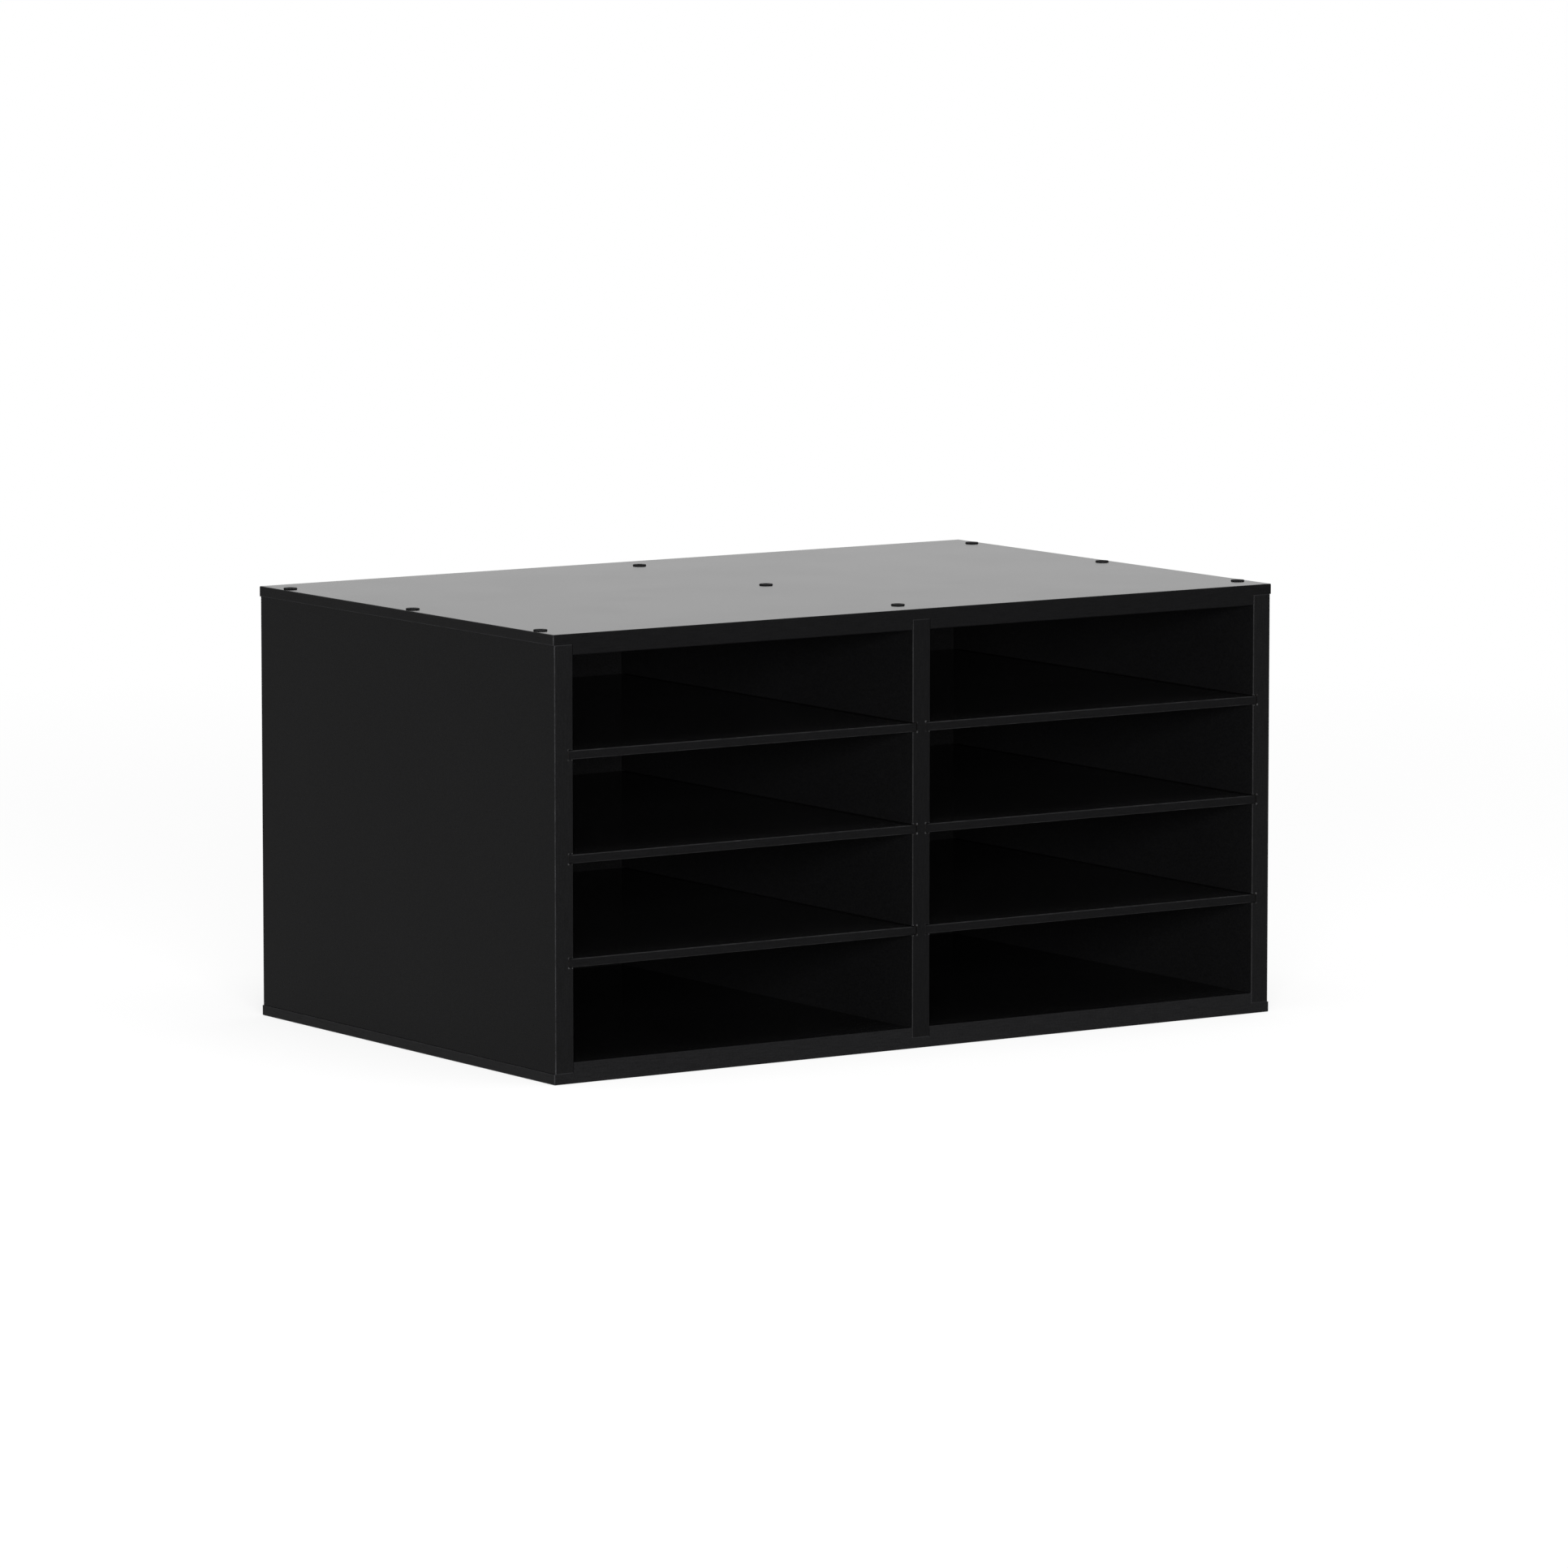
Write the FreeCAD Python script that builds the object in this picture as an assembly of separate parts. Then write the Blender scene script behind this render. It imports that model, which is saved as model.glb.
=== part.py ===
"""Desktop literature sorter: two columns of open compartments in a case of black laminated board.

The top and bottom boards are rabbeted at both ends for the sides and have a dado in the middle
for the divider. The shelves are loose: they slide in from the front, in grooves of the sides and
the divider that run right through the front edge. A thin back stands in a groove of the four
outer boards. Countersunk furniture screws, blunt and with a hexagon socket, go through the top
and bottom into the ends of the three upright boards.
Every exposed board edge carries a thin glued band, which the rabbets, dadoes and grooves cut.

Frame: origin at the middle of the footprint, on the surface that the sorter stands on.
+X is to the right, -Y towards the user and +Z up. Lengths are in millimetres.
"""
import FreeCAD
import Part
import math
import os
from FreeCAD import Vector

# Overall size, over the edge bands
WIDTH = 500.0
DEPTH = 320.0
HEIGHT = 254.0

# Boards
BOARD = 12.0            # thickness of the top, bottom, sides and divider
HOUSING = 6.0           # depth of the end rabbets and of the divider's dadoes
BAND = 0.8              # thickness of the edge bands
ARRIS = 0.4             # chamfer along the outer corners of the edge bands

# Shelves
SHELVES = 3             # in each column
SHELF = 5.0             # thickness
SHELF_GROOVE = 3.0      # depth of the grooves that hold a shelf's ends
SHELF_SETBACK = 0.5     # from the front of the boards to the front of a shelf
SHELF_ARRIS = 0.5       # chamfer along a shelf's front corners

# Back
BACK = 3.0              # thickness
BACK_GROOVE = 5.0       # depth of the groove that holds it
BACK_INSET = 10.0       # from the rear of the boards to the back's rear face

# Screws
SCREW_HEAD = 7.0        # head diameter
SCREW_SHANK = 5.0       # shank diameter
SCREW_LENGTH = 40.0     # from the top of the head to the blunt end
SCREW_SINK = 0.6        # from the board's face down to the head
SCREW_MARGIN = 24.0     # from the front and rear of the boards to the outer screws
SOCKET = 3.0            # hexagon socket, across its flats
SOCKET_DEPTH = 2.4

# Clearances
HOUSING_PLAY = 0.1      # beside a board in its rabbet or dado
SHELF_PLAY = 0.5        # above a shelf in its groove
SHELF_END_PLAY = 0.4    # between a shelf's end and the floor of its groove
SHELF_BACK_PLAY = 1.0   # between a shelf and the back
BACK_PLAY = 0.2         # on each face of the back in its groove
BACK_EDGE_PLAY = 0.5    # between the back's edges and the floor of its groove
DIVIDER_PLAY = 0.2      # between the divider and the back
SCREW_PLAY = 0.1        # around a screw in its hole
PILOT_EXTRA = 2.0       # drilled past the screw's end

# Places that follow from the sizes
OVERSHOOT = 1.0                             # how far a cutter starts outside the wood
SAME = 1e-6                                 # two places closer than this are one place
SEAT = BOARD - HOUSING                      # height of the floor of the rabbets and dadoes
FRONT = -DEPTH / 2
REAR = DEPTH / 2
BACK_FRONT = REAR - BACK_INSET - BACK       # front face of the back
SIDE_OUTER = WIDTH / 2 - BAND               # outer face of a side; the bands stand proud of it
SIDE_INNER = SIDE_OUTER - BOARD
DIVIDER_FACE = BOARD / 2
BACK_SLOT = (BACK_FRONT - BACK_PLAY, BACK_FRONT + BACK + BACK_PLAY)
CLEAR_HEIGHT = (HEIGHT - 2 * BOARD - SHELVES * SHELF) / (SHELVES + 1)
SHELF_HEIGHTS = [BOARD + (k + 1) * CLEAR_HEIGHT + k * SHELF for k in range(SHELVES)]
SCREW_ROWS = [FRONT + SCREW_MARGIN, 0.0, REAR - SCREW_MARGIN]
SIDE_MIDDLE = SIDE_OUTER - BOARD / 2


# Shared shapes

def block(x, y, z):
    """A rectangular solid between two limits along each axis."""
    size = [high - low for low, high in (x, y, z)]
    return Part.makeBox(*size, Vector(x[0], y[0], z[0]))


def prism(outline, y):
    """A closed outline of (x, z) points, extruded between two limits along Y."""
    points = [Vector(px, y[0], pz) for px, pz in outline]
    face = Part.Face(Part.makePolygon(points + points[:1]))
    return face.extrude(Vector(0, y[1] - y[0], 0))


def turned(outline):
    """A closed outline of (radius, z) points, turned about the Z axis."""
    points = [Vector(r, 0, z) for r, z in outline]
    face = Part.Face(Part.makePolygon(points + points[:1]))
    return face.revolve(Vector(0, 0, 0), Vector(0, 0, 1), 360)


def near(place, *others):
    """Whether a coordinate is the same as one of the others."""
    return any(abs(place - other) < SAME for other in others)


def chamfer(solid, size, wanted):
    """Chamfers the edges whose middle point passes the test."""
    return solid.makeChamfer(size, [edge for edge in solid.Edges if wanted(edge.BoundBox.Center)])


def to_top(shape):
    """The same shape on the top board instead of the bottom one."""
    return shape.mirror(Vector(0, 0, HEIGHT / 2), Vector(0, 0, 1))


def to_right(shape):
    """The same shape on the right instead of the left."""
    return shape.mirror(Vector(0, 0, 0), Vector(1, 0, 0))


def to_rear(shape):
    """The same shape on the rear edge instead of the front one."""
    return shape.mirror(Vector(0, 0, 0), Vector(0, 1, 0))


# Board sections, seen from the front

def floor_section(half_width):
    """The bottom board with its end rabbets and its dado."""
    dado = DIVIDER_FACE + HOUSING_PLAY
    rabbet = SIDE_INNER - HOUSING_PLAY
    right = [(half_width, 0), (half_width, SEAT), (rabbet, SEAT), (rabbet, BOARD),
             (dado, BOARD), (dado, SEAT)]
    left = [(-x, z) for x, z in reversed(right)]
    return right + left


def grooved_face(face, floor):
    """Points up a face of an upright board, from the face to the floor of each shelf groove."""
    points = [(face, SEAT)]
    for low in SHELF_HEIGHTS:
        high = low + SHELF + SHELF_PLAY
        points += [(face, low), (floor, low), (floor, high), (face, high)]
    return points + [(face, HEIGHT - SEAT)]


def side_section():
    """The left side, grooved on its inner face."""
    inner = grooved_face(-SIDE_INNER, -SIDE_INNER - SHELF_GROOVE)
    outer = [(-SIDE_OUTER, HEIGHT - SEAT), (-SIDE_OUTER, SEAT)]
    return inner + outer


def divider_section():
    """The divider, grooved on both faces."""
    right = grooved_face(DIVIDER_FACE, DIVIDER_FACE - SHELF_GROOVE)
    left = [(-x, z) for x, z in reversed(right)]
    return right + left


# Cutters

def countersunk_hole():
    """The clearance hole of a bottom screw, with its countersink."""
    head, shank = SCREW_HEAD / 2 + SCREW_PLAY, SCREW_SHANK / 2 + SCREW_PLAY
    mouth = head + SCREW_SINK + OVERSHOOT
    return turned([(0, -OVERSHOOT), (mouth, -OVERSHOOT), (shank, SCREW_SINK + head - shank),
                   (shank, BOARD + OVERSHOOT), (0, BOARD + OVERSHOOT)])


def pilot_hole():
    """The hole that a bottom screw goes into, in the end of an upright board."""
    low, high = SEAT - OVERSHOOT, SCREW_SINK + SCREW_LENGTH + PILOT_EXTRA
    return Part.makeCylinder(SCREW_SHANK / 2 + SCREW_PLAY, high - low, Vector(0, 0, low))


def in_rows(shape, x):
    """A copy of the shape at each row of screws."""
    return [shape.translated(Vector(x, y, 0)) for y in SCREW_ROWS]


# Boards

def bottom_panel():
    board = prism(floor_section(SIDE_OUTER), (FRONT + BAND, REAR - BAND))
    groove = block((-SIDE_OUTER, SIDE_OUTER), BACK_SLOT, (BOARD - BACK_GROOVE, BOARD))
    holes = [hole for x in (-SIDE_MIDDLE, 0, SIDE_MIDDLE) for hole in in_rows(countersunk_hole(), x)]
    return board.cut([groove] + holes)


def drilled(board, x):
    """An upright board with pilot holes in both of its ends."""
    pilots = in_rows(pilot_hole(), x)
    return board.cut(pilots + [to_top(pilot) for pilot in pilots])


def left_side():
    board = prism(side_section(), (FRONT + BAND, REAR - BAND))
    groove = block((-SIDE_INNER - BACK_GROOVE, -SIDE_INNER), BACK_SLOT, (SEAT, HEIGHT - SEAT))
    return drilled(board.cut(groove), -SIDE_MIDDLE)


def centre_divider():
    """It stops at the back, which passes behind it."""
    return drilled(prism(divider_section(), (FRONT + BAND, BACK_FRONT - DIVIDER_PLAY)), 0)


def back_panel():
    half_width = SIDE_INNER + BACK_GROOVE - BACK_EDGE_PLAY
    low = BOARD - BACK_GROOVE + BACK_EDGE_PLAY
    return block((-half_width, half_width), (BACK_FRONT, BACK_FRONT + BACK), (low, HEIGHT - low))


def left_shelf(height):
    x = (-SIDE_INNER - SHELF_GROOVE + SHELF_END_PLAY, -DIVIDER_FACE + SHELF_GROOVE - SHELF_END_PLAY)
    y = (FRONT + SHELF_SETBACK, BACK_FRONT - SHELF_BACK_PLAY)
    shelf = block(x, y, (height, height + SHELF))
    middle = sum(x) / 2
    return chamfer(shelf, SHELF_ARRIS, lambda at: near(at.y, y[0]) and near(at.x, middle))


# Edge bands

def front_band(outline, x, z, wanted):
    """A band on a board's front edge: a chamfered strip, cut to the board's own section."""
    strip = chamfer(block(x, (FRONT, FRONT + BAND), z), ARRIS, wanted)
    return strip.common(prism(outline, (FRONT, FRONT + BAND)))


def bottom_front_band():
    """Full length: it covers the ends of the end bands."""
    x = (-WIDTH / 2, WIDTH / 2)
    return front_band(floor_section(x[1]), x, (0, BOARD), lambda at: not near(at.y, FRONT + BAND))


def bottom_left_band():
    """Between the front and rear bands, and only as high as the rabbet leaves the board."""
    face = -WIDTH / 2
    strip = block((face, -SIDE_OUTER), (FRONT + BAND, REAR - BAND), (0, SEAT))
    return chamfer(strip, ARRIS, lambda at: near(at.x, face) and near(at.z, 0))


def side_front_band():
    x = (-SIDE_OUTER, -SIDE_INNER)
    return front_band(side_section(), x, (SEAT, HEIGHT - SEAT),
                      lambda at: near(at.y, FRONT) and near(at.x, *x))


def divider_front_band():
    x = (-DIVIDER_FACE, DIVIDER_FACE)
    return front_band(divider_section(), x, (SEAT, HEIGHT - SEAT),
                      lambda at: near(at.y, FRONT) and near(at.x, *x))


# Screws

def hexagon_socket():
    """The driver's socket in a bottom screw's head."""
    reach = SOCKET / (2 * math.cos(math.pi / 6))
    corners = [Vector(reach, 0, 0)]
    for turn in range(1, 7):
        angle = turn * math.pi / 3
        corners.append(Vector(reach * math.cos(angle), reach * math.sin(angle), 0))
    return Part.Face(Part.makePolygon(corners)).extrude(Vector(0, 0, SCREW_SINK + SOCKET_DEPTH))


def bottom_screw():
    """A countersunk furniture screw, its head down."""
    head, shank, end = SCREW_HEAD / 2, SCREW_SHANK / 2, SCREW_SINK + SCREW_LENGTH
    body = turned([(0, SCREW_SINK), (head, SCREW_SINK), (shank, SCREW_SINK + head - shank),
                   (shank, end), (0, end)])
    return body.cut(hexagon_socket())


def screw_row(x):
    return Part.makeCompound(in_rows(bottom_screw(), x))


# The whole sorter

def nodes():
    """Every sub-part by its name."""
    made = {
        "bottom_panel": bottom_panel(),
        "left_side": left_side(),
        "centre_divider": centre_divider(),
        "back_panel": back_panel(),
        "bottom_front_band": bottom_front_band(),
        "bottom_left_band": bottom_left_band(),
        "left_side_front_band": side_front_band(),
        "divider_front_band": divider_front_band(),
        "bottom_left_screws": screw_row(-SIDE_MIDDLE),
        "bottom_centre_screws": screw_row(0),
        "bottom_right_screws": screw_row(SIDE_MIDDLE),
    }
    made["bottom_rear_band"] = to_rear(made["bottom_front_band"])
    made["left_side_rear_band"] = to_rear(made["left_side_front_band"])
    made["bottom_right_band"] = to_right(made["bottom_left_band"])
    for name in [name for name in made if name.startswith("bottom_")]:
        made[name.replace("bottom_", "top_")] = to_top(made[name])
    for name in [name for name in made if name.startswith("left_side")]:
        made[name.replace("left_", "right_")] = to_right(made[name])
    for number, height in enumerate(SHELF_HEIGHTS, start=1):
        made[f"left_shelf_{number}"] = left_shelf(height)
        made[f"right_shelf_{number}"] = to_right(made[f"left_shelf_{number}"])
    return made


os.makedirs("parts", exist_ok=True)
for node, shape in nodes().items():
    shape.exportStep(f"parts/{node}.step")
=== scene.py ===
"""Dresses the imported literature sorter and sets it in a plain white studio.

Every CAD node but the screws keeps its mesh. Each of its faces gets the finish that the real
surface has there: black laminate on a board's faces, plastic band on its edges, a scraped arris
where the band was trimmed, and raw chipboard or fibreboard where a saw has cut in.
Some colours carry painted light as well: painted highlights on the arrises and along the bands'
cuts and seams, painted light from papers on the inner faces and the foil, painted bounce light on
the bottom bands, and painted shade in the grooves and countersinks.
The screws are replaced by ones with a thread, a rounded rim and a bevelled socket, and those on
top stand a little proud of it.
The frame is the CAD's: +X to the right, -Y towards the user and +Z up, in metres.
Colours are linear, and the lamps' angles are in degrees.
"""
import math
import bmesh
import bpy
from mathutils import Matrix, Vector

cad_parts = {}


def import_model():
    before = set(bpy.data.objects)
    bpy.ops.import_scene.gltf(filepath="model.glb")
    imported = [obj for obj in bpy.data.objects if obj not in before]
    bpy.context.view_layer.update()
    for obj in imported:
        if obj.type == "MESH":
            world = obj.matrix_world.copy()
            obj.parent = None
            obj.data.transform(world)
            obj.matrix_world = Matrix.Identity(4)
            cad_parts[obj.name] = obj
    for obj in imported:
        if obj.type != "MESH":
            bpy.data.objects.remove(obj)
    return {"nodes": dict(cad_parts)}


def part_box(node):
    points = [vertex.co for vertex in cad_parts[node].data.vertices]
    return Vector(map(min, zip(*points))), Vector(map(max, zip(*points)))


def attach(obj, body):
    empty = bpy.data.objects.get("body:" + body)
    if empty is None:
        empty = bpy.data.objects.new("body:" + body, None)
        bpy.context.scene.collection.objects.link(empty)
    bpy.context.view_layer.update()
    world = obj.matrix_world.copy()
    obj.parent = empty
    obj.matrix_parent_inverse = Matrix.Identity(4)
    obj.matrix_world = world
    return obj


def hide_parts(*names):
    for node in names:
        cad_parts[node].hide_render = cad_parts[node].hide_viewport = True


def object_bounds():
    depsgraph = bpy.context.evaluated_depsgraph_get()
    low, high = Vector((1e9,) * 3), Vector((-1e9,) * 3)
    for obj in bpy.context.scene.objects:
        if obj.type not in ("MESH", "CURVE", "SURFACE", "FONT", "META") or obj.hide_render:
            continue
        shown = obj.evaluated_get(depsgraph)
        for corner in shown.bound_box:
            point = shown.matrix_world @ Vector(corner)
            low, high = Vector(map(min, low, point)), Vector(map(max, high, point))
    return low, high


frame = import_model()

CAD_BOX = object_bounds()
NODES = frame["nodes"]
MM = 0.001
SAME = 1e-5             # two places closer than this are one place
SHELL = 2 * MM          # a face this near the CAD box is on the outside of the object
SQUARE = 0.9            # a normal has more than this along an axis that its face is square to,
HALFWAY = 0.5           # more than this along both of the axes that an arris lies between,
ALONG = 0.1             # and less than this along an axis that its face runs along

# Camera, fitted to the corners, seams and shelf edges of the photograph
PHOTO_PIXELS = 1932     # across the photograph
FOCAL_PIXELS = 11345.0  # the focal length, in those pixels
CAMERA_PLACE = (-2.9916, -4.4625, 0.8093)
CAMERA_YAW = math.radians(33.95)
CAMERA_PITCH = math.radians(-7.14)
SENSOR = 36.0           # millimetres
CLIP_END = 100.0

# Studio
FLOOR_SIZE = 60.0
FLOOR_GAP = 0.1 * MM    # below the object, so that the two faces don't coincide
FLOOR_COLOUR = (0.35, 0.35, 0.35)
FLOOR_LIFT = 0.76       # what the floor adds to its lit colour where it is seen, up to white
FLOOR_FADE = (0.7, 1.8)  # how far from the object it starts and ends fading into white
FILL = 0.35             # white light from all around
AIM = (0.0, 0.0, 0.13)  # what the lamps point at
KEY = {"azimuth": -30.0, "elevation": 9.0, "distance": 4.0, "size": (1.6, 1.0), "light": 1.0}
OVERHEAD = {"azimuth": 0.0, "elevation": 80.0, "distance": 3.0, "size": (2.0, 2.0), "light": 0.3}

# Faces: laminate on the boards, foil on the shelves and the front of the back
BLACK = (0.0044, 0.0044, 0.0047)
INSIDE_PAINTED_LIGHT = (0.0063, 0.0063, 0.0066)   # painted light: the boards' inner faces paler, as papers there would light them
# painted light: the foil is paler as well, as papers in the sorter would light it
FOIL = (0.0085, 0.0085, 0.0088)
BLACK_IOR = 1.1         # a matt film: black from the front, and still bright at a grazing angle
GRAZE = (0.4, 0.9)      # from 0, square on, to 1, edge on, it starts and ends turning glossier
GRAIN = 0.012 * MM      # depth of the laminate's pearl grain
FOIL_GRAIN = 0.008 * MM
SCREEN = (0.012, 0.011, 0.0105)     # the reverse of the back
SCREEN_PITCH = 1.5 * MM             # between the wires of the screen that printed it
NOISE_RANGE = (0.3, 0.7)            # most of a noise's values lie between these

# Edge bands
EDGE = (0.005, 0.005, 0.0053)
SIDE_BAND_BLACK = (0.0066, 0.0066, 0.0069)  # a little paler, on the bands of the two sides
BOTTOM_BOUNCE_PAINTED = (0.0095, 0.0095, 0.01)    # painted bounce light: the bottom bands paler, as the floor lights them
# painted highlights: the arrises are paler than the band, as the light they catch, more so outside
OUTER_ARRIS_HIGHLIGHT = (0.016, 0.016, 0.017)
INNER_ARRIS_HIGHLIGHT = (0.009, 0.009, 0.0095)
SHELF_ARRIS_HIGHLIGHT = (0.011, 0.011, 0.0115)
ARRIS_END = (5 * MM, 14 * MM)       # from its end, an arris starts and ends darkening here
RIM_HIGHLIGHT = (0.026, 0.026, 0.0275)    # painted highlight along the rims of cuts and seams
RIM_SHARE = 0.8                     # how much of that colour a rim has at most
CUT_FADE = (0.2 * MM, 0.5 * MM)     # how far from a cut its rim starts and ends fading
SEAM_FADE = (0.15 * MM, 0.45 * MM)
SEAM_END = 1 * MM                   # a seam's rim fades over this, past the board it meets
SPECK = (0.05, 0.05, 0.051)         # where a saw broke out a corner
SPECK_FADE = (0.5 * MM, 0.7 * MM)
SPECK_ROUGH = 0.3 * MM              # how far a speck's outline wanders

# Cuts
CHIP_COLOURS = ((0.10, 0.062, 0.035), (0.27, 0.18, 0.105), (0.46, 0.34, 0.22))
# painted shade: the sawn insides of the grooves, far darker than the chipboard
GROOVE_SHADE_COLOURS = ((0.007, 0.006, 0.0055), (0.02, 0.016, 0.013))
FIBRE_COLOURS = ((0.018, 0.012, 0.008), (0.05, 0.032, 0.021))
SUNK_SHADE = (0.0045, 0.0045, 0.0045)     # the countersinks, painted black as the shade in them

# Screws
STEEL = (0.009, 0.009, 0.0095)
SCREW_STEPS = 48        # around a screw; a multiple of 6, for the hexagon
HEAD = 7.8 * MM         # across the head
RISE = 0.65 * MM        # of the heads above the top board
SOCKET = 3.0 * MM       # across its flats
SOCKET_DEPTH = 2.4 * MM
SOCKET_LEAD = 0.2 * MM  # the cone at its mouth
RIM = 0.12 * MM         # rounding of the head's edge
RIM_STEPS = 3           # facets in that rounding
LAND = 0.6 * MM         # from the head's face to the foot of its straight rim
PLAIN_SHANK = 9.0 * MM  # from the head's face to the first thread
SHANK = 5.0 * MM        # outside the thread
THREAD_DEPTH = 0.75 * MM
THREAD_PITCH = 3.0 * MM
THREAD_RIDGE = 0.3      # half the ridge's width at its foot, as a share of the pitch
THREAD_RINGS = 8        # for each turn of the thread
BLUNT_END = 1.5 * MM    # length of the cone at the end
BLUNT_TAPER = 0.5 * MM  # what the cone takes off the radius
SHARP = math.radians(35)  # edges sharper than this aren't shaded smooth


class Finish:
    """A material under construction: one Principled shader and the nodes that feed it."""

    def __init__(self, name, **values):
        self.material = bpy.data.materials.new(name)
        self.material.use_nodes = True
        self.tree = self.material.node_tree
        self.shader = self.tree.nodes["Principled BSDF"]
        self.place = self.node("TexCoord").outputs["Object"]
        self.set(**values)

    def node(self, kind, inputs=None, **settings):
        """Adds a node; a value or another node's socket goes to each named input."""
        made = self.tree.nodes.new("ShaderNode" + kind)
        for name, value in settings.items():
            setattr(made, name, value)
        for name, value in (inputs or {}).items():
            self.feed(made.inputs[name], value)
        return made

    def feed(self, socket, value):
        """Links a socket to a node's output, or sets it to a number or colour."""
        if isinstance(value, bpy.types.NodeSocket):
            self.tree.links.new(value, socket)
        elif socket.type == "RGBA" and len(value) == 3:
            socket.default_value = (*value, 1.0)
        else:
            socket.default_value = value

    def set(self, **values):
        """Sets the shader's own inputs; underscores stand for spaces."""
        for name, value in values.items():
            self.feed(self.shader.inputs[name.replace("_", " ")], value)

    def maths(self, operation, first, second=0.0):
        """The result of one sum, such as ADD or MULTIPLY, on numbers or sockets."""
        return self.node("Math", {0: first, 1: second}, operation=operation).outputs[0]

    def axis(self, letter):
        """The place along one axis of the frame."""
        return self.node("SeparateXYZ", {0: self.place}).outputs[letter]

    def scaled(self, size, stretch):
        """The place, counted in features of that size, or longer ones where it is stretched."""
        scale = tuple(1.0 / (size * longer) for longer in stretch)
        return self.node("Mapping", {"Vector": self.place, "Scale": scale}).outputs[0]

    def noise(self, size, detail=2.0, stretch=(1.0, 1.0, 1.0)):
        """Noise of 0 to 1 whose features are about that size, in metres."""
        inputs = {"Vector": self.scaled(size, stretch), "Scale": 1.0, "Detail": detail}
        return self.node("TexNoise", inputs).outputs[0]

    def cells(self, size, stretch=(1.0, 1.0, 1.0)):
        """A random number for each of many cells of about that size, in metres."""
        inputs = {"Vector": self.scaled(size, stretch), "Scale": 1.0}
        colour = self.node("TexVoronoi", inputs).outputs["Color"]
        return self.node("SeparateColor", {0: colour}).outputs[0]

    def spread(self, value, low, high, start=0.0, end=1.0):
        """Maps start..end to low..high, and holds the ends."""
        inputs = {"Value": value, "From Min": start, "From Max": end, "To Min": low, "To Max": high}
        return self.node("MapRange", inputs).outputs[0]

    def patches(self, size, low, high, detail=2.0, within=NOISE_RANGE):
        """A number that wanders between low and high, in patches of about that size in metres."""
        return self.spread(self.noise(size, detail), low, high, *within)

    def mix(self, share, first, second):
        """The first colour where the share is 0, and the second where it is 1."""
        return self.node("Mix", {0: share, 6: first, 7: second}, data_type="RGBA").outputs[2]

    def tint(self, colour, share):
        """The colour, times a share that changes from place to place."""
        return self.node("VectorMath", {0: colour, 3: share}, operation="SCALE").outputs[0]

    def nearest(self, value, places):
        """How far a coordinate is from the nearest of several places."""
        found = None
        for place in places:
            gap = self.maths("ABSOLUTE", self.maths("SUBTRACT", value, place))
            found = gap if found is None else self.maths("MINIMUM", found, gap)
        return found

    def bump(self, height, depth):
        """A normal from a height of 0 to 1 that stands for that depth in metres."""
        inputs = {"Height": height, "Distance": depth, "Strength": 1.0}
        return self.node("Bump", inputs).outputs[0]


# Materials

def satin(finish, square_on, grazing, uneven):
    """Sets a roughness that falls towards grazing angles, as a satin surface's does."""
    facing = finish.node("LayerWeight", {"Blend": 0.5}).outputs["Facing"]
    roughness = finish.spread(facing, square_on, grazing, *GRAZE)
    finish.set(Roughness=finish.maths("ADD", roughness, uneven))


def laminate(name, black, grain=GRAIN):
    """Black melamine: a fine pearl grain, clouds of tone and the odd rubbed place."""
    finish = Finish(name, IOR=BLACK_IOR)
    clouds = finish.patches(90 * MM, 0.93, 1.08)
    flecks = finish.patches(0.8 * MM, 0.7, 1.3)
    finish.set(Base_Color=finish.tint(black, finish.maths("MULTIPLY", clouds, flecks)))
    rubbed = finish.patches(55 * MM, -0.008, 0.012, 3.0, (0.35, 0.65))
    satin(finish, 0.2, 0.12, rubbed)
    finish.set(Normal=finish.bump(finish.noise(0.7 * MM, 1.0), grain))
    return finish.material


def band(name, along, marks=(), black=EDGE):
    """Plastic edge band with faint streaks along it, and light marks where it was cut: painted
    highlights along cuts and seams, and chips.

    Each mark is a colour and a function that works out its share, 0 to 1, for a finish.
    """
    finish = Finish(name, IOR=BLACK_IOR)
    stretch = tuple(25.0 if letter == along else 1.0 for letter in "xyz")
    streaks = finish.noise(0.5 * MM, 2.0, stretch)
    flecks = finish.maths("ADD", streaks, finish.noise(0.9 * MM))
    colour = finish.tint(black, finish.spread(flecks, 0.75, 1.3, 0.7, 1.3))
    for shade, share in marks:
        colour = finish.mix(share(finish), colour, shade)
    finish.set(Base_Color=colour)
    satin(finish, 0.32, 0.18, finish.spread(streaks, -0.03, 0.03, *NOISE_RANGE))
    finish.set(Normal=finish.bump(streaks, 0.003 * MM))
    return finish.material


def scraped_and_highlit(name, colour, ends=()):
    """An arris: a painted highlight, paler still where the scraper that trimmed it rubbed harder,
    as it did near its ends.
    """
    finish = Finish(name, IOR=1.2, Roughness=0.5)
    rubs = finish.patches(7 * MM, 0.45, 1.5, 4.0)
    nicks = finish.patches(0.8 * MM, 0.6, 1.4, 1.0)
    share = finish.maths("MULTIPLY", rubs, nicks)
    if ends:
        end = finish.nearest(finish.axis("Z"), ends)
        share = finish.maths("MULTIPLY", share, finish.spread(end, 1.5, 1.0, *ARRIS_END))
    finish.set(Base_Color=finish.tint(colour, share))
    finish.set(Normal=finish.bump(finish.noise(0.5 * MM), 0.02 * MM))
    return finish.material


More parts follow.
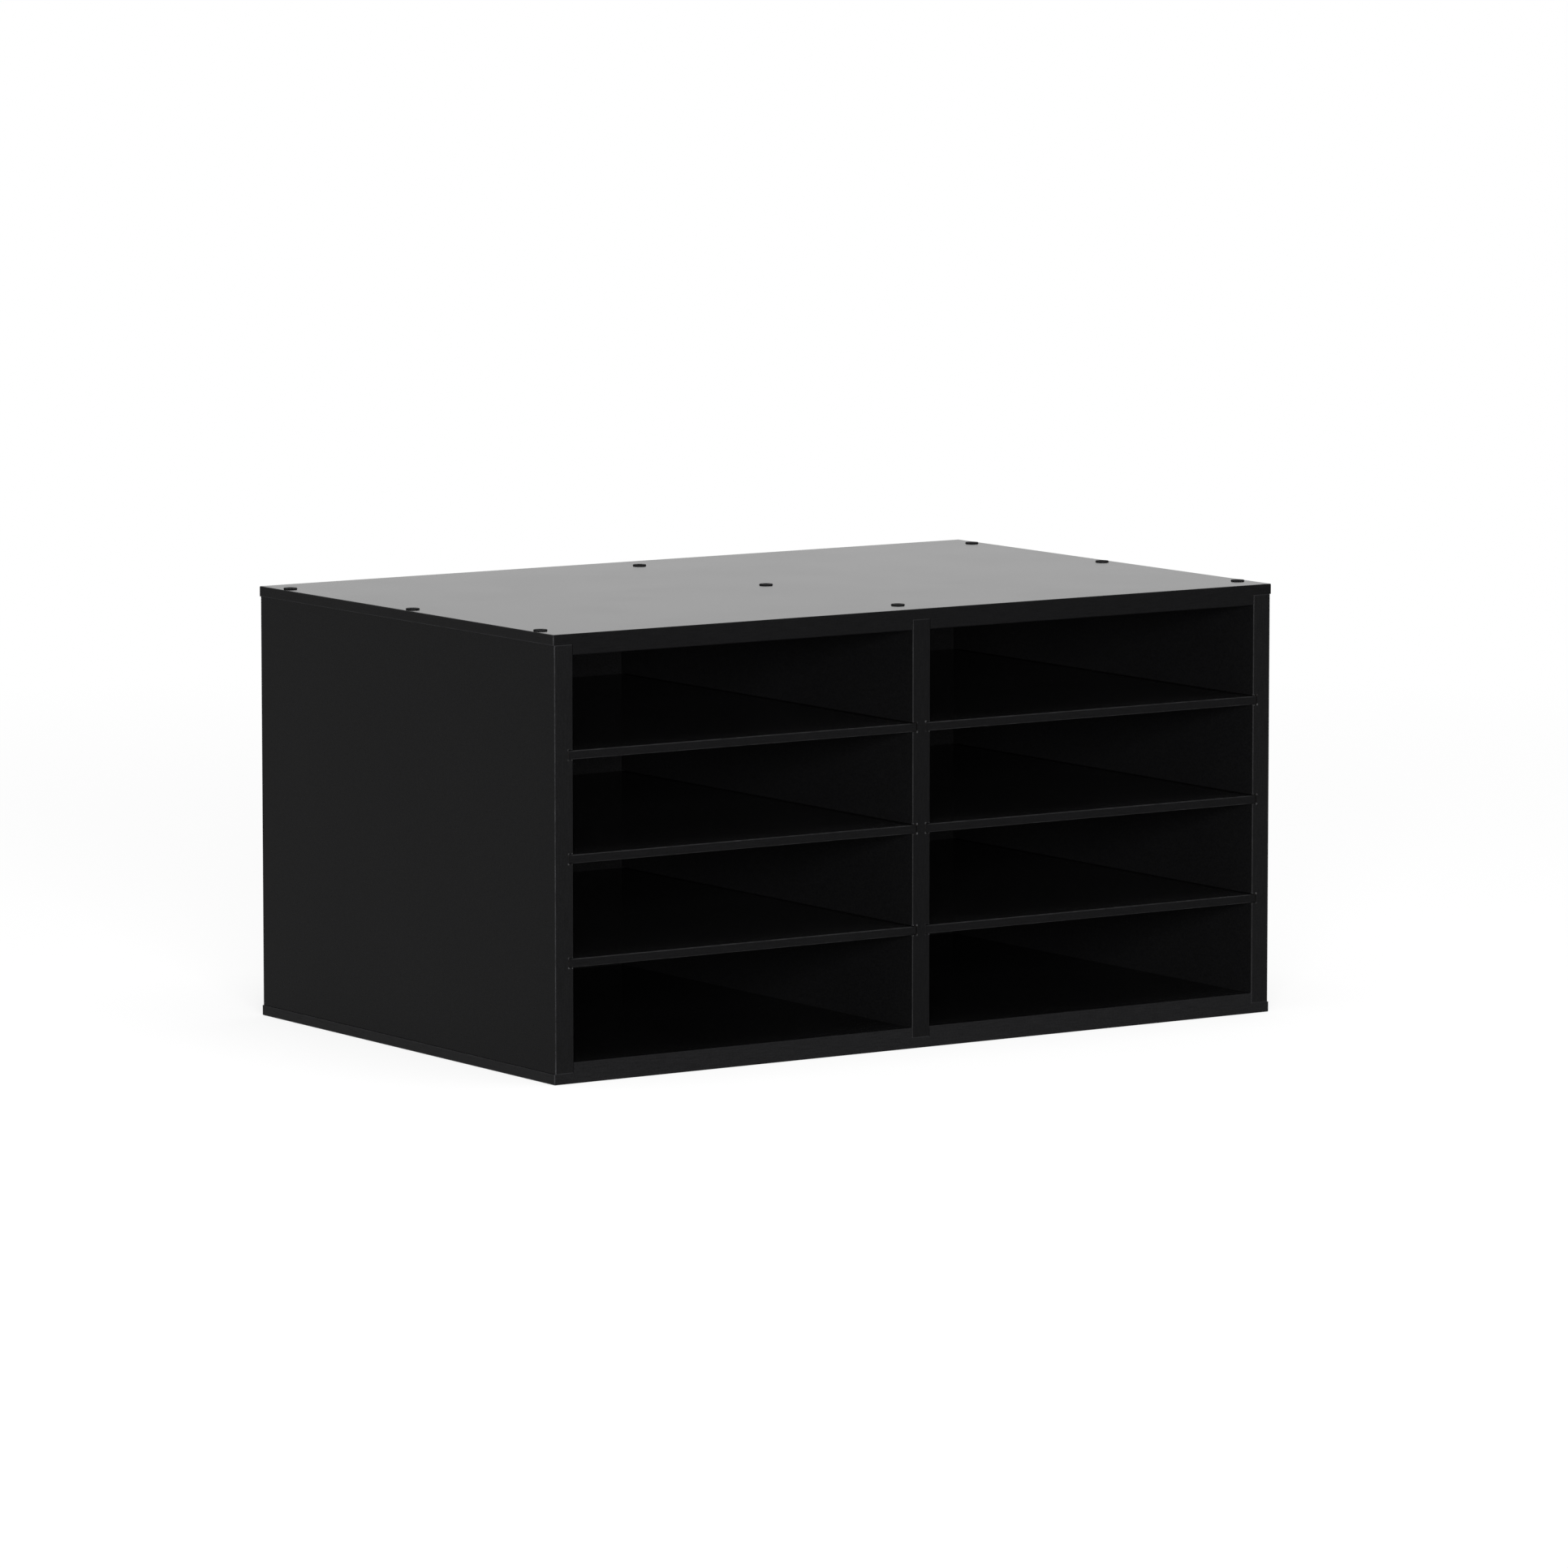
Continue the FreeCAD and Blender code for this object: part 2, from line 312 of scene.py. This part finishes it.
def chipboard():
    """Sawn chipboard: chips of several browns, and dark pores between them."""
    finish = Finish("chipboard_core", Roughness=0.85)
    chips = finish.cells(1.6 * MM, (1.6, 1.6, 0.6))
    dark, middle, light = CHIP_COLOURS
    colour = finish.mix(finish.spread(chips, 0.0, 1.0, 0.0, 0.55), dark, middle)
    colour = finish.mix(finish.spread(chips, 0.0, 1.0, 0.55, 1.0), colour, light)
    pores = finish.noise(0.5 * MM, 3.0)
    finish.set(Base_Color=finish.tint(colour, finish.spread(pores, 0.45, 1.1, 0.35, 0.6)))
    finish.set(Normal=finish.bump(pores, 0.15 * MM))
    return finish.material


def groove():
    """The inside of a shelf groove, painted dark as the shade in it."""
    finish = Finish("sawn_groove_shade", Roughness=0.85, IOR=1.15)
    pores = finish.noise(0.6 * MM, 3.0)
    finish.set(Base_Color=finish.mix(pores, *GROOVE_SHADE_COLOURS))
    finish.set(Normal=finish.bump(pores, 0.12 * MM))
    return finish.material


def fibreboard():
    """The sawn edge of hardboard."""
    finish = Finish("fibreboard_edge", Roughness=0.8)
    layers = finish.noise(0.4 * MM, 3.0, (6.0, 6.0, 1.0))
    finish.set(Base_Color=finish.mix(layers, *FIBRE_COLOURS))
    finish.set(Normal=finish.bump(layers, 0.05 * MM))
    return finish.material


def screen_back():
    """The reverse of black hardboard, which keeps the print of the press's wire screen."""
    finish = Finish("screen_back", Roughness=0.62, IOR=1.3)
    wires = 0.0
    for letter in "XZ":
        turn = finish.maths("MULTIPLY", finish.axis(letter), 2 * math.pi / SCREEN_PITCH)
        wires = finish.maths("ADD", wires, finish.maths("SINE", turn))
    fibres = finish.noise(2.5 * MM, 4.0)
    shade = finish.spread(finish.maths("ADD", wires, fibres), 0.75, 1.2, -1.0, 2.0)
    finish.set(Base_Color=finish.tint(SCREEN, shade))
    height = finish.maths("ADD", finish.spread(wires, 0.0, 0.7, -2.0, 2.0), fibres)
    finish.set(Normal=finish.bump(height, 0.12 * MM))
    return finish.material


def countersink():
    """The cone cut for a screw's head, painted black as the shade in it."""
    finish = Finish("countersink", Base_Color=SUNK_SHADE, Roughness=0.9, IOR=1.05)
    finish.set(Normal=finish.bump(finish.noise(0.4 * MM), 0.04 * MM))
    return finish.material


def black_steel():
    """Black phosphated steel: a matt coat of fine crystals."""
    finish = Finish("black_steel", IOR=1.08)
    crystals = finish.noise(0.25 * MM, 3.0)
    finish.set(Base_Color=finish.tint(STEEL, finish.spread(crystals, 0.6, 1.5, *NOISE_RANGE)))
    finish.set(Roughness=finish.spread(crystals, 0.45, 0.65, *NOISE_RANGE))
    finish.set(Normal=finish.bump(crystals, 0.01 * MM))
    return finish.material


# Marks on the bands of the upright boards: painted highlights and chipped corners

def cut_rim_highlight(*heights):
    """A painted highlight along the rim where a band was cut at these heights, stronger in places.
    """
    def share(finish):
        rim = finish.spread(finish.nearest(finish.axis("Z"), heights), RIM_SHARE, 0.0, *CUT_FADE)
        return finish.maths("MULTIPLY", rim, finish.patches(12 * MM, 0.5, 1.0, within=(0.35, 0.6)))
    return RIM_HIGHLIGHT, share


def seam_rim_highlight(edges, heights, reach):
    """A painted highlight along a band's upright edges, as far from its ends as another board meets
    it.
    """
    def share(finish):
        rim = finish.spread(finish.nearest(finish.axis("X"), edges), RIM_SHARE, 0.0, *SEAM_FADE)
        end = finish.nearest(finish.axis("Z"), heights)
        return finish.maths("MULTIPLY", rim, finish.spread(end, 1.0, 0.0, reach, reach + SEAM_END))
    return RIM_HIGHLIGHT, share


def chipped_corners(across, up):
    """Light specks where the saw broke out the corners of the shelf grooves."""
    def share(finish):
        side = finish.nearest(finish.maths("ABSOLUTE", finish.axis("X")), across)
        height = finish.nearest(finish.axis("Z"), up)
        squares = [finish.maths("MULTIPLY", length, length) for length in (side, height)]
        gap = finish.maths("SQRT", finish.maths("ADD", *squares))
        wander = finish.spread(finish.noise(0.4 * MM, 3.0), -SPECK_ROUGH, SPECK_ROUGH)
        speck = finish.spread(finish.maths("ADD", gap, wander), 1.0, 0.0, *SPECK_FADE)
        return finish.maths("MULTIPLY", speck, finish.patches(5 * MM, 0.1, 1.0, 0.0, (0.42, 0.58)))
    return SPECK, share


def cut_places(name):
    """Where the grooves cut a band's front face: the corners' distances across and heights."""
    low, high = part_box(name)
    inside = [vertex.co for vertex in NODES[name].data.vertices
              if low.z + SAME < vertex.co.z < high.z - SAME]
    across = sorted({round(abs(place.x), 5) for place in inside})
    up = sorted({round(place.z, 5) for place in inside})
    return across, up


# Which face gets what

def depth_in(box, place, axis):
    """How far a place is inside a box, from the nearer of its two faces across that axis."""
    low, high = box
    return min(place[axis] - low[axis], high[axis] - place[axis])


def flat(name, axis):
    """A laminated board across that axis, with raw chipboard where it was cut; its inner faces
    carry painted light, and its countersinks painted shade.
    """
    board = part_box(name)

    def choose(normal, centre):
        if abs(normal[axis]) > SQUARE and depth_in(board, centre, axis) < SAME:
            # painted light: faces inside the case get a paler laminate, as papers there would light
            # them
            return "laminate" if depth_in(CAD_BOX, centre, axis) < SHELL else "painted_light_inner_laminate"
        # painted shade: the countersinks' cones are black
        return "countersink" if ALONG < abs(normal.z) < SQUARE else "chipboard"
    return choose


def dress(name, choose, materials):
    """Gives each face of a node the material that choose names for its normal and centre."""
    mesh = NODES[name].data
    mesh.materials.clear()
    slots = {}
    for face in mesh.polygons:
        wanted = choose(face.normal, face.center)
        if wanted not in slots:
            slots[wanted] = len(slots)
            mesh.materials.append(materials[wanted])
        face.material_index = slots[wanted]


def upright(name):
    """A side or the divider: grooved for the shelves, and raw where the other boards cover it."""
    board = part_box(name)
    plain = flat(name, 0)

    def choose(normal, centre):
        wanted = plain(normal, centre)
        if wanted.endswith("laminate") or max(abs(normal.x), abs(normal.z)) < SQUARE:
            return wanted
        return "groove" if depth_in(board, centre, 2) > SAME else wanted
    return choose


def shelf(normal, centre):
    """A shelf: foil above and below, a band in front, and bare fibreboard where it was sawn."""
    if abs(normal.z) > SQUARE:
        return "foil"
    if normal.y < -HALFWAY:
        return "shelf_band" if abs(normal.z) < ALONG else "shelf_arris"
    return "fibreboard"


def back(normal, centre):
    """The back: foil in front, and the print of the press's screen behind."""
    if abs(normal.y) < SQUARE:
        return "fibreboard"
    return "foil" if normal.y < 0 else "screen_back"


def banded(face):
    """A band: its upright arrises are scraped and carry a painted highlight, and the rest is the
    band's own plastic.
    """
    def choose(normal, centre):
        if min(abs(normal.x), abs(normal.y)) < HALFWAY:
            return face
        # painted highlight: outer arrises get a paler colour than inner ones
        return "outer_arris" if depth_in(CAD_BOX, centre, 0) < SHELL else "inner_arris"
    return choose


def upright_band(name):
    """The band of an upright board, with painted highlights where it was cut and jointed, and light
    chips where it was grooved.
    """
    low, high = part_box(name)
    ends = (low.z, high.z)
    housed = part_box("bottom_panel")[1].z - low.z
    seams = seam_rim_highlight((low.x, high.x), ends, housed)
    marks = (cut_rim_highlight(*ends), seams, chipped_corners(*cut_places(name)))
    return band("edge_" + name, "z", marks, EDGE if name.startswith("divider") else SIDE_BAND_BLACK)


def dress_all():
    """Makes the materials, and gives every board, band and shelf its own."""
    uprights = ("left_side_front_band", "left_side_rear_band", "right_side_front_band",
                "right_side_rear_band", "divider_front_band")
    arris_ends = [corner.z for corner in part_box("left_side_front_band")]
    top_cut = cut_rim_highlight(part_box("top_left_band")[0].z)
    bottom_cut = cut_rim_highlight(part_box("bottom_left_band")[1].z)
    materials = {
        "laminate": laminate("black_laminate", BLACK),
        "painted_light_inner_laminate": laminate("painted_light_inner_laminate", INSIDE_PAINTED_LIGHT),
        "foil": laminate("black_foil", FOIL, FOIL_GRAIN),
        "chipboard": chipboard(),
        "groove": groove(),
        "fibreboard": fibreboard(),
        "countersink": countersink(),
        "screen_back": screen_back(),
        "outer_arris": scraped_and_highlit("outer_arris", OUTER_ARRIS_HIGHLIGHT, arris_ends),
        "inner_arris": scraped_and_highlit("inner_arris", INNER_ARRIS_HIGHLIGHT, arris_ends),
        "shelf_arris": scraped_and_highlit("shelf_arris", SHELF_ARRIS_HIGHLIGHT),
        "shelf_band": band("edge_shelf", "x"),
        "top_band": band("edge_top", "x"),
        "top_end": band("edge_top_end", "y", [top_cut]),
        # painted bounce light from the floor on the bottom bands
        "bottom_band": band("edge_bottom", "x", black=BOTTOM_BOUNCE_PAINTED),
        "bottom_end": band("edge_bottom_end", "y", [bottom_cut], BOTTOM_BOUNCE_PAINTED),
    }
    for name in uprights:
        materials[name] = upright_band(name)
        dress(name, banded(name), materials)
    for end in ("bottom", "top"):
        dress(end + "_panel", flat(end + "_panel", 2), materials)
        for side in ("front", "rear"):
            dress(f"{end}_{side}_band", banded(end + "_band"), materials)
        for side in ("left", "right"):
            dress(f"{end}_{side}_band", banded(end + "_end"), materials)
    for name in ("left_side", "centre_divider", "right_side"):
        dress(name, upright(name), materials)
    dress("back_panel", back, materials)
    for name in NODES:
        if "_shelf_" in name:
            dress(name, shelf, materials)


# Screws

def socket_reach(angle):
    """From the axis to the hexagon, whose corners are at the sixths of a turn."""
    sixth = math.pi / 3
    return SOCKET / 2 / math.cos(angle % sixth - sixth / 2)


def thread_reach(depth, angle):
    """From the axis to the thread, whose ridge is narrow and whose valley is wide."""
    turn = (depth / THREAD_PITCH - angle / (2 * math.pi)) % 1.0
    ridge = max(0.0, 1.0 - abs(turn - 0.5) / THREAD_RIDGE)
    return SHANK / 2 - THREAD_DEPTH * (1.0 - ridge)


def screw_rings(length):
    """The screw's rings from the socket's floor to the blunt end.

    Each is a depth below the head's face, and the radius there for each angle.
    """
    def plain(depth, radius):
        return depth, lambda angle: radius

    head, shank, corner = HEAD / 2, SHANK / 2, SOCKET / math.sqrt(3)
    rings = [(SOCKET_DEPTH, socket_reach), (SOCKET_LEAD, socket_reach)]
    rings.append(plain(0.0, corner + SOCKET_LEAD))
    for step in range(RIM_STEPS + 1):
        turn = math.pi / 2 * step / RIM_STEPS
        rings.append(plain(RIM * (1 - math.cos(turn)), head - RIM * (1 - math.sin(turn))))
    rings += [plain(LAND, head), plain(LAND + head - shank, shank), plain(PLAIN_SHANK, shank)]
    threaded = length - BLUNT_END - PLAIN_SHANK
    count = round(threaded / THREAD_PITCH * THREAD_RINGS)
    for step in range(1, count + 1):
        depth = PLAIN_SHANK + threaded * step / count
        rings.append((depth, lambda angle, depth=depth: thread_reach(depth, angle)))
    rings.append(plain(length, shank - THREAD_DEPTH - BLUNT_TAPER))
    return rings


def add_screw(mesh, place, inward, rings):
    """Adds one screw: place is the middle of its head's face, and inward its sense along Z."""
    angles = [2 * math.pi * step / SCREW_STEPS for step in range(SCREW_STEPS)]
    made = []
    for depth, reach in rings:
        corners = [Vector((reach(angle) * math.cos(angle), reach(angle) * math.sin(angle),
                           inward * depth)) for angle in angles]
        made.append([mesh.verts.new(place + corner) for corner in corners])
    for near, far in zip(made, made[1:]):
        for step in range(SCREW_STEPS):
            mesh.faces.new((near[step - 1], near[step], far[step], far[step - 1]))
    mesh.faces.new(made[0])
    mesh.faces.new(made[-1])


def screws(name, steel):
    """A row of three screws that replaces a row of the CAD's, and stands proud if it is on top."""
    low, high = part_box(name)
    radius = (high.x - low.x) / 2
    if name.startswith("top"):
        face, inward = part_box("top_panel")[1].z + RISE, -1
    else:
        face, inward = low.z, 1
    rings = screw_rings(high.z - low.z)
    mesh = bmesh.new()
    for y in (low.y + radius, (low.y + high.y) / 2, high.y - radius):
        add_screw(mesh, Vector((low.x + radius, y, face)), inward, rings)
    bmesh.ops.recalc_face_normals(mesh, faces=mesh.faces)
    data = bpy.data.meshes.new(name + "_detailed")
    mesh.to_mesh(data)
    mesh.free()
    data.shade_smooth()
    data.set_sharp_from_angle(angle=SHARP)
    data.materials.append(steel)
    item = bpy.data.objects.new(data.name, data)
    bpy.context.scene.collection.objects.link(item)
    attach(item, "case")
    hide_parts(name)


def all_screws():
    """Replaces every row of screws."""
    steel = black_steel()
    for name in list(NODES):
        if name.endswith("_screws"):
            screws(name, steel)


# Studio

def camera():
    """The photograph's camera."""
    data = bpy.data.cameras.new("photo_camera")
    data.sensor_width = SENSOR
    data.lens = FOCAL_PIXELS / PHOTO_PIXELS * SENSOR
    data.clip_end = CLIP_END
    item = bpy.data.objects.new("photo_camera", data)
    item.location = CAMERA_PLACE
    item.rotation_euler = (math.pi / 2 + CAMERA_PITCH, 0.0, -CAMERA_YAW)
    bpy.context.scene.collection.objects.link(item)
    bpy.context.scene.camera = item


def seen_directly(tree):
    """1 for what the camera, a reflection or a clear part looks at, and 0 for what only lights."""
    path = tree.nodes.new("ShaderNodeLightPath")
    total = path.outputs["Is Camera Ray"]
    for kind in ("Is Glossy Ray", "Is Transmission Ray"):
        add = tree.nodes.new("ShaderNodeMath")
        add.operation = "MAXIMUM"
        tree.links.new(total, add.inputs[0])
        tree.links.new(path.outputs[kind], add.inputs[1])
        total = add.outputs[0]
    return total


def world():
    """White where it is looked at, and an even fill light."""
    studio = bpy.data.worlds.new("studio")
    bpy.context.scene.world = studio
    studio.use_nodes = True
    tree = studio.node_tree
    background = tree.nodes["Background"]
    background.inputs["Color"].default_value = (1.0, 1.0, 1.0, 1.0)
    strength = tree.nodes.new("ShaderNodeMapRange")
    strength.inputs["To Min"].default_value = FILL
    strength.inputs["To Max"].default_value = 1.0
    tree.links.new(seen_directly(tree), strength.inputs["Value"])
    tree.links.new(strength.outputs[0], background.inputs["Strength"])


def floor():
    """A pale floor that takes the object's shadow and fades into white around it."""
    bpy.ops.mesh.primitive_plane_add(size=FLOOR_SIZE, location=(0.0, 0.0, -FLOOR_GAP))
    item = bpy.context.object
    item.name = "floor"
    finish = Finish("floor", Base_Color=FLOOR_COLOUR, Specular_IOR_Level=0.0)
    finish.set(Emission_Color=(1.0, 1.0, 1.0))
    seen = seen_directly(finish.tree)
    finish.set(Emission_Strength=finish.maths("MULTIPLY", seen, FLOOR_LIFT))
    reach = finish.node("VectorMath", {0: finish.place}, operation="LENGTH").outputs["Value"]
    fade = finish.maths("MULTIPLY", seen, finish.spread(reach, 0.0, 1.0, *FLOOR_FADE))
    white = finish.node("Emission", {"Color": (1.0, 1.0, 1.0), "Strength": 1.0}).outputs[0]
    lit = finish.shader.outputs[0]
    mixed = finish.node("MixShader", {0: fade, 1: lit, 2: white}).outputs[0]
    finish.feed(finish.tree.nodes["Material Output"].inputs["Surface"], mixed)
    item.data.materials.append(finish.material)


def lamp(name, azimuth, elevation, distance, size, light):
    """A soft box that gives the object that much light: 1 shows a white card as white.

    The azimuth is counted from the front (-Y) towards the right (+X).
    """
    turn, rise = math.radians(azimuth), math.radians(elevation)
    level = math.cos(rise)
    towards = Vector((math.sin(turn) * level, -math.cos(turn) * level, math.sin(rise)))
    data = bpy.data.lights.new(name, "AREA")
    data.shape = "RECTANGLE"
    data.size, data.size_y = size
    data.energy = light * (math.pi * distance) ** 2
    item = bpy.data.objects.new(name, data)
    item.location = Vector(AIM) + towards * distance
    item.rotation_euler = towards.to_track_quat("Z", "Y").to_euler()
    bpy.context.scene.collection.objects.link(item)


def studio():
    """The camera, the white surroundings and two lamps."""
    camera()
    world()
    floor()
    lamp("key", **KEY)
    lamp("overhead", **OVERHEAD)
    bpy.context.scene.view_settings.view_transform = "Standard"


dress_all()
all_screws()
studio()
